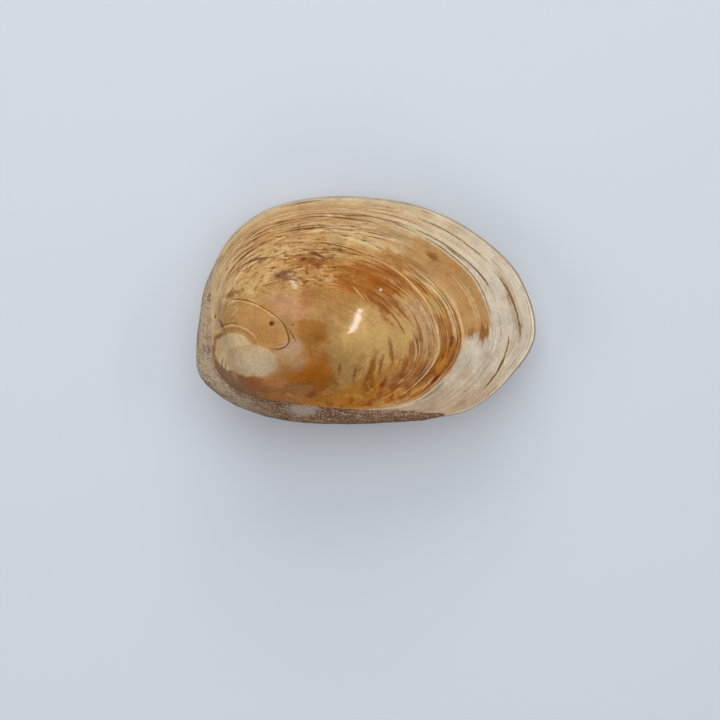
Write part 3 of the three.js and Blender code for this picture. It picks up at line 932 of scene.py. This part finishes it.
# Threads: lines along the growth, as round the shell and growth at one end, the same at the other
# end, half width in per cent of growth, fraying, colour, strength.
RIGHT_THREADS = [
    (45.5, 93.2, 34.0, 93.2, 0.30, 2, "#8a6a4a", 0.9),  # thin lines on the pale rear
    (44.0, 86.6, 31.0, 87.2, 0.26, 2, "#7a5431", 0.9),
    (38.6, 86.2, 35.2, 86.0, 0.30, 2, "#7a5431", 0.8),
    (35.5, 87.0, 31.6, 87.2, 0.26, 2, "#6d4726", 0.8),
    (42.5, 85.0, 27.0, 84.0, 0.26, 1, "#85592f", 0.9),  # round the flat tan band
    (44.0, 85.8, 27.0, 84.9, 0.34, 1, "#dcc8a4", 0.8),
    (33.2, 92.6, 24.8, 94.2, 0.40, 3, "#80592f", 0.85),  # in the brown smear
    (34.6, 78.5, 26.8, 78.9, 0.34, 2, "#d6b27c", 0.85),  # inside the flat tan band
    (33.6, 79.6, 27.0, 79.9, 0.40, 2, "#cfae7e", 0.9),
    (24.6, 90.0, 22.2, 91.0, 0.30, 2, "#8a6238", 0.9),  # crack at the rear
    (22.8, 90.6, 19.6, 93.2, 0.34, 1.5, "#6e4520", 0.95),
    (20.4, 92.8, 17.0, 94.4, 0.42, 1.5, "#7a5028", 0.9),
    (23.0, 91.6, 18.6, 94.6, 0.24, 1.5, "#dcc49c", 0.7),
    (61.5, 79.2, 52.6, 79.2, 0.34, 2, "#6f3f16", 0.95),  # dark pair on the free edge
    (59.0, 80.6, 53.2, 80.4, 0.30, 2, "#7d4a1e", 0.9),
    (68.0, 83.6, 61.6, 81.4, 0.36, 2, "#70401a", 0.95),
    (68.2, 80.4, 63.8, 78.4, 0.34, 2, "#70401a", 0.95),
    (67.2, 72.6, 60.0, 66.2, 0.32, 2, "#70452c", 0.9),
    (69.0, 93.8, 56.0, 90.2, 0.28, 1, "#e0c282", 0.85),  # thin pale lines at the free edge
    (60.0, 88.0, 50.0, 87.6, 0.28, 1, "#8d6336", 0.85),
    (58.0, 95.0, 50.0, 94.4, 0.34, 1, "#dfc28a", 0.85),
    (56.0, 85.8, 48.5, 84.0, 0.34, 2, "#83542a", 0.9),
    (52.0, 91.0, 42.0, 89.0, 0.26, 1, "#94714a", 0.85),
    (51.0, 88.0, 42.0, 84.6, 0.26, 1, "#94714a", 0.85),
    (52.5, 75.4, 44.5, 71.4, 0.55, 1.5, "#e3c994", 0.95),  # bright cream arcs
    (57.5, 73.2, 46.5, 68.6, 0.35, 1.5, "#dfc088", 0.9),
    (55.0, 72.0, 46.5, 68.4, 0.28, 1.5, "#7c4d20", 0.9),
    (35.0, 72.8, 21.0, 73.6, 0.45, 1, "#e2bd8a", 0.95),
    (44.5, 67.6, 30.0, 64.9, 0.36, 1.5, "#e0b67c", 0.9),
    (31.0, 64.8, 14.0, 64.6, 0.46, 1.5, "#dfb884", 0.9),
    (30.0, 66.0, 15.0, 65.8, 0.26, 1.5, "#8a5426", 0.8),
    (33.5, 59.6, 24.0, 58.6, 0.36, 2, "#9c6535", 0.8),
    (72.2, 88.0, 67.0, 81.0, 0.30, 1.5, "#d9bb82", 0.8),
    (54.8, 66.4, 51.0, 63.6, 0.26, 3, "#6c3f18", 0.9),  # dark squiggles
    (56.4, 68.6, 53.4, 66.0, 0.26, 3, "#74481e", 0.85),
]
# The lobe and the cream patch in front of the beak, as X, Y, half length, half width, turn in degrees.
LOBE = (-25.3, -4.3, 8.7, 4.1, -30)
CREAM = (-30.7, -10.4, 4.9, 4.3, 0)
# Patches: X, Y, half length, half width, turn in degrees, softness, fraying, streakiness, colour,
# strength.
RIGHT_PATCHES = [
    (-20.0, 1.0, 9.0, 3.4, -24, 0.8, 2.0, 0, "#c8a06a", 0.6),  # beige above the lobe
    (-17.4, -0.6, 4.2, 1.8, -32, 0.9, 3.0, 0, "#c5906a", 0.75),  # pinkish above its end
    (-13.4, 1.6, 2.0, 1.6, 20, 0.9, 3.0, 0, "#a87040", 0.7),
    (-12.4, -6.4, 3.6, 3.2, -20, 0.6, 2.4, 0, "#a06828", 0.9),  # brown patches
    (-11.4, -12.0, 2.4, 2.8, 0, 0.8, 2.0, 0, "#a06a30", 0.8),
    (-12.8, -16.8, 6.8, 4.8, 10, 0.8, 2.4, 0, "#b06200", 0.95),
    (-17.0, -13.6, 4.0, 1.8, 8, 0.8, 2.0, 0, "#ab7640", 0.8),
    (-22.5, -18.9, 8.8, 3.0, -9, 0.5, 1.8, 0, "#b27440", 0.95),
    (-26.8, -17.6, 3.6, 2.2, -18, 0.8, 2.0, 0, "#8c5838", 0.9),
    (-6.0, -14.0, 2.0, 3.2, 10, 0.8, 2.2, 0, "#b98f52", 0.8),
    (0.8, -14.3, 0.7, 4.0, -14, 0.8, 2.8, 0, "#a05a0c", 0.9),  # flames
    (0.2, -18.2, 1.3, 2.4, 0, 0.8, 3.0, 0, "#96540f", 0.85),
    (5.4, -10.6, 0.5, 2.6, 8, 0.8, 2.4, 0, "#8f5a24", 0.85),
    (10.6, -9.2, 1.1, 2.5, -12, 0.8, 2.4, 0, "#965424", 0.9),
    (12.8, -15.4, 1.5, 3.0, -38, 0.8, 2.4, 0, "#84441a", 0.9),
    (6.0, -16.8, 3.0, 1.8, 30, 0.8, 2.4, 0.3, "#a86c44", 0.8),
    (15.8, -16.8, 0.8, 1.2, -30, 0.8, 2.4, 0, "#83451c", 0.9),
    (-6.4, -14.2, 0.3, 1.5, -8, 0.9, 2.0, 0, "#8a5018", 0.75),
    (-3.0, -15.4, 0.35, 1.9, -14, 0.9, 2.0, 0, "#94581c", 0.75),
    (3.0, -13.4, 0.35, 2.2, -14, 0.9, 2.0, 0, "#9a5c20", 0.8),
    (3.6, -17.6, 0.5, 1.6, -30, 0.9, 2.0, 0, "#8a4e1c", 0.85),
    (8.6, -13.6, 0.5, 2.2, -20, 0.9, 2.0, 0, "#a0602c", 0.85),
    (9.4, -17.8, 0.6, 1.6, -44, 0.9, 2.0, 0, "#84481c", 0.85),
    (14.6, -11.0, 0.5, 2.4, -20, 0.9, 2.0, 0, "#a0602e", 0.85),
    (*LOBE, 0.05, 0.12, 0, "#bb8c54", 0.85),
    (-22.6, -6.8, 4.4, 2.6, -28, 0.8, 0.6, 0, "#b07c44", 0.85),  # its redder end
    (-33.8, -2.2, 1.8, 3.6, 0, 0.8, 1.6, 0, "#b48a58", 0.7),
    (-33.2, -14.2, 2.4, 3.4, 24, 0.7, 1.6, 0, "#866049", 0.95),  # purple-grey by the sediment
    (-29.6, -19.2, 3.8, 2.0, -32, 0.7, 1.6, 0, "#876045", 0.95),
    (-17.4, -11.2, 3.6, 2.6, -24, 0.5, 2.0, 0, "#b8906a", 0.7),  # pinkish corner
    (-16.6, -9.6, 2.2, 2.2, -24, 0.4, 1.6, 0, "#bb9672", 0.8),
    (*CREAM, 0.08, 0.5, 0, "#d3b486", 1.0),
    (-26.2, -12.4, 6.4, 3.5, -5, 0.10, 0.5, 0, "#c2a47c", 1.0),
    (-25.4, -13.2, 5.0, 2.2, -5, 0.9, 1.4, 0, "#c2ab8c", 0.9),
    (-31.2, 2.7, 1.9, 0.8, 12, 0.7, 2.0, 0, "#96602f", 0.85),  # rim of the lobe, front end
    (-34.9, -4.3, 1.1, 0.8, 60, 0.3, 0.8, 0, "#c8a684", 0.9),  # chips at the front end
    (-33.5, -4.2, 0.3, 1.5, 28, 0.6, 1.4, 0, "#8a5230", 0.95),
    (-35.5, -2.2, 0.2, 0.5, -20, 0.6, 1.0, 0, "#5c3b22", 0.9),
    (-34.6, -6.8, 1.6, 0.6, 20, 0.6, 1.4, 0, "#8f5836", 0.9),
    (-35.6, -8.4, 0.5, 2.2, -8, 0.8, 1.8, 0, "#8f5f3e", 0.8),
    (-21.4, -4.1, 0.62, 0.62, 0, 0.4, 0.5, 0, "#7c4a22", 1.0),  # pit: painted shade, a dark spot with a darker middle on the next line, for a hollow that the mesh doesn't have
    (-21.5, -4.2, 0.36, 0.36, 0, 0.5, 0.5, 0, "#61381a", 1.0),
    (-16.7, -4.5, 0.3, 0.35, 0, 0.6, 0.6, 0, "#7c6244", 0.9),
    (2.9, 3.7, 0.35, 0.3, 0, 0.5, 0.6, 0, "#e6d6c0", 1.0),  # pale speck
]
# Rims: the oval that the line follows, how far outside it and half width of the line as shares of
# the oval's size, the oval that the line shows in, colour, strength.
RIGHT_RIMS = [
    # Along the lobe's upper edge: a dark line of painted shade and, just inside it, a pale line of painted
    # highlight, as a small step there would lose and catch the light.
    (*LOBE, 0.03, 0.035, (-23.5, -0.6, 8.0, 6.4), "#80552b", 0.9),
    (*LOBE, -0.05, 0.045, (-25.5, 0.0, 6.6, 4.4), "#dcb67e", 0.9),
    # Along the lobe's rear end: a dark line of painted shade at the step.
    (*LOBE, 0.0, 0.035, (-17.0, -8.2, 4.6, 4.0), "#6e4524", 0.95),
    (*CREAM, 0.36, 0.06, (-29.0, -5.6, 4.4, 3.0), "#d2ab7a", 0.9),
    (*CREAM, 0.22, 0.09, (-28.2, -6.0, 4.8, 4.4), "#a77a4a", 0.8),
    (*CREAM, 0.50, 0.05, (-31.6, -4.6, 2.4, 1.6), "#7b4d29", 0.8),
]
# Scratches: X and Y at one end, the same at the other end, half width, colour, strength.
RIGHT_SCRATCHES = [
    (-17.7, -5.2, -15.9, -8.3, 0.17, "#7a5230", 0.9),
    (-33.3, -11.6, -33.9, -14.0, 0.16, "#6b4426", 0.9),  # dark streaks at the front
    (-32.5, -12.4, -32.8, -14.4, 0.16, "#7a5030", 0.85),
    (-3.4, 4.4, -0.8, 1.4, 0.18, "#d9ae78", 0.8),  # thin bright lines by the dome
    (-1.2, 3.2, 0.4, 0.8, 0.15, "#d6a86c", 0.7),
]
LINE_COLOURS = ("#b0783f", "#e2c490", "#8c5c30", "#84522a")

# The left valve's markings are given in the same way.
LEFT_GROUND = [(0.05, "#a5764a"), (0.30, "#b78b56"), (0.50, "#bf925a"), (0.66, "#b88a54"),
               (0.80, "#bd9666"), (0.93, "#c8a981"), (1.0, "#cbb08c")]
LEFT_BANDS = [
    (3, 40, 77, 103, 7, 1.4, 5, 2, 0, "#cabb9d", 0.95),
    (44, 70, 64, 95, 7, 5, 12, 4, 0.4, "#b68a58", 0.7),
    (20, 38, 60, 71, 5, 1.2, 14, 4, 0.4, "#aa7038", 0.9),
    (46, 60, 44, 60, 5, 4, 22, 8, 0.4, "#a86b30", 0.9),
    (3, 20, 40, 70, 4, 6, 26, 12, 0.35, "#9a6026", 0.95),
    # pale rim: painted light that lifts the shade on the steep margin
    (-6, 106, 98.6, 106, 1, 0.8, 0, 1, 0, "#f2e2c6", 0.9),
    (79, 99, 58, 103, 4, 8, 10, 18, 0.2, "#745644", 0.9),
]
LEFT_SPOTS = [
    (30, 42, 84, 87, 0.7, 2.5, 0.3, "#8a6440", 0.7),
    (62, 74, 60, 66, 0.7, 2.5, 0.3, "#8c5a30", 0.6),
]
LEFT_THREADS = [
    (52, 74.0, 64, 76.6, 0.45, 2, "#75451c", 0.9),
    (40, 90.5, 28, 91.5, 0.35, 2, "#8a6844", 0.85),
    (45, 83.0, 24, 83.6, 0.35, 2, "#84592f", 0.85),
    (38, 72.4, 20, 73.2, 0.45, 1, "#e0be8a", 0.9),
    (32, 63.6, 14, 64.6, 0.40, 1.5, "#dfb884", 0.85),
    (60, 68.0, 48, 69.0, 0.35, 1.5, "#dcbc84", 0.85),
    (66, 91.0, 54, 92.0, 0.30, 1, "#8d6336", 0.85),
]

right_finish = shell_finish("iron-stained calcite, polished, right valve", 1, RIGHT_GROUND, RIGHT_BANDS,
                            RIGHT_SPOTS, RIGHT_THREADS, RIGHT_PATCHES, RIGHT_RIMS, RIGHT_SCRATCHES,
                            LINE_COLOURS)
left_finish = shell_finish("iron-stained calcite, polished, left valve", 40, LEFT_GROUND, LEFT_BANDS,
                           LEFT_SPOTS, LEFT_THREADS, [], [], [], LINE_COLOURS)
pad_finish = sediment_finish()

# ---- pieces ---------------------------------------------------------------------------------------

GRINDING_STEP = 1e-6    # metres; corners nearer than this to the flat are on it


def set_down(piece, foot):
    """Turns a piece grown in the hinge's axes the way the shell lies, and moves it to its place."""
    piece.data.transform(Matrix.Scale(MM, 4) @ Matrix.Translation(foot) @ lying)
    piece.data.update()


def middle_of(low, high):
    """The middle of a box."""
    return (Vector(low) + Vector(high)) / 2


margin_line = smooth_line(MARGIN, True)
valve = valve_tree()
right_valve = grow("right_valve_shell", line_mesh("margin", margin_line, True), valve,
                   {"Side": 1.0, "Seed": 1.0, "Finish": right_finish})
left_valve = grow("left_valve_shell", line_mesh("margin", margin_line, True), valve,
                  {"Side": -1.0, "Seed": 57.0, "Finish": left_finish})
sediment_pad = grow("sediment_pad", line_mesh("pad edge", smooth_line(PAD_EDGE, False), False),
                    pad_tree(), {"Finish": pad_finish})

# The foot of the beak goes where it brings a bare right valve to its place in the model.
bare_valve = grow("bare_valve", line_mesh("margin", margin_line, True), valve,
                  {"Growth lines": 28, "Points around": 60, "Band height": 0.0, "Ridge height": 0.0,
                   "Wave height": 0.0, "Halt depth": 0.0, "Edge rounding": 0.0, "Beak polishing": 0,
                   "Finish": right_finish})
lain = [lying @ vertex.co for vertex in bare_valve.data.vertices]
bpy.data.objects.remove(bare_valve)
lain_box = [[pick(p[i] for p in lain) for i in range(3)] for pick in (min, max)]
beak_foot = middle_of(*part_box("right_valve")) / MM - middle_of(*lain_box)
for piece in (right_valve, left_valve, sediment_pad):
    set_down(piece, beak_foot)

# The left valve is ground flat where it rests.
ground = bmesh.new()
ground.from_mesh(left_valve.data)
bmesh.ops.bisect_plane(ground, geom=ground.verts[:] + ground.edges[:] + ground.faces[:],
                       dist=GRINDING_STEP, plane_co=(0, 0, 0), plane_no=(0, 0, 1))
for vertex in ground.verts:
    vertex.co.z = max(vertex.co.z, 0)
ground.to_mesh(left_valve.data)
ground.free()

for piece, node, slot in ((right_valve, "right_valve", "upper_shell"),
                          (left_valve, "left_valve", "lower_shell"),
                          (sediment_pad, "sediment_matrix", "sediment")):
    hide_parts(node)
    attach(piece, "root")

# ---- stage ----------------------------------------------------------------------------------------

FLOOR = 3               # metres from its middle to its edges
floor_mesh = bpy.data.meshes.new("floor")
floor_mesh.from_pydata([(x * FLOOR, y * FLOOR, 0) for x, y in ((-1, -1), (1, -1), (1, 1), (-1, 1))],
                       [], [(0, 1, 2, 3)])
floor = bpy.data.objects.new("floor", floor_mesh)
bpy.context.scene.collection.objects.link(floor)
floor_mesh.materials.append(plain_finish("pale paper", "#d6dce4", 0.9))
floor.visible_glossy = False     # the polished shell mirrors a dark room, not the paper

world = bpy.data.worlds.new("pale room")
bpy.context.scene.world = world
world.use_nodes = True
room = world.node_tree
# The room is pale, but the polished shell mirrors the darker side of it.
mirrored = add(room, "ShaderNodeLightPath").node.outputs["Is Glossy Ray"]
lit = add(room, "ShaderNodeMapRange", {"Value": mirrored, "To Min": 0.3, "To Max": 0.1})
room.links.new(lit, room.nodes["Background"].inputs["Strength"])
room.nodes["Background"].inputs["Color"].default_value = linear("#ecf0f6")


def softbox(name, azimuth, elevation, distance, width, height, power, tilt=0, reflected=True):
    """A soft light that faces the shell, placed by degrees round it and up, and metres away."""
    lamp = bpy.data.lights.new(name, "AREA")
    lamp.shape = "RECTANGLE"
    lamp.size, lamp.size_y, lamp.energy = width, height, power
    held = bpy.data.objects.new(name, lamp)
    a, e = math.radians(azimuth), math.radians(elevation)
    out = Vector((math.cos(a) * math.cos(e), math.sin(a) * math.cos(e), math.sin(e)))
    held.location = out * distance
    facing = out.to_track_quat("Z", "Y") @ Quaternion((0, 0, 1), math.radians(tilt))
    held.rotation_euler = facing.to_euler()
    held.visible_glossy = reflected
    bpy.context.scene.collection.objects.link(held)


softbox("ceiling", 80, 80, 1.1, 1.0, 1.0, 5.3, reflected=False)
softbox("far wall", 95, 35, 0.8, 0.7, 0.4, 2.2, reflected=False)
softbox("left wall", 195, 38, 1.2, 0.8, 0.5, 2.0, reflected=False)
softbox("near wall", 265, 38, 1.4, 0.8, 0.5, 1.7, reflected=False)
softbox("window", 9, 49, 1.2, 0.56, 0.018, 0.85, tilt=-6)
softbox("far window", 97, 30, 0.8, 0.02, 0.14, 0.08, tilt=31)

CAMERA = (-1.79, -12.28, 326.94)    # mm; it looks straight down
LENS = 64.8
SENSOR = 36
camera_data = bpy.data.cameras.new("camera")
camera_data.sensor_width = SENSOR
camera_data.lens = LENS
camera_data.clip_start = 0.01
camera = bpy.data.objects.new("camera", camera_data)
camera.location = Vector(CAMERA) * MM
bpy.context.scene.collection.objects.link(camera)
bpy.context.scene.camera = camera
bpy.context.scene.view_settings.view_transform = "Standard"
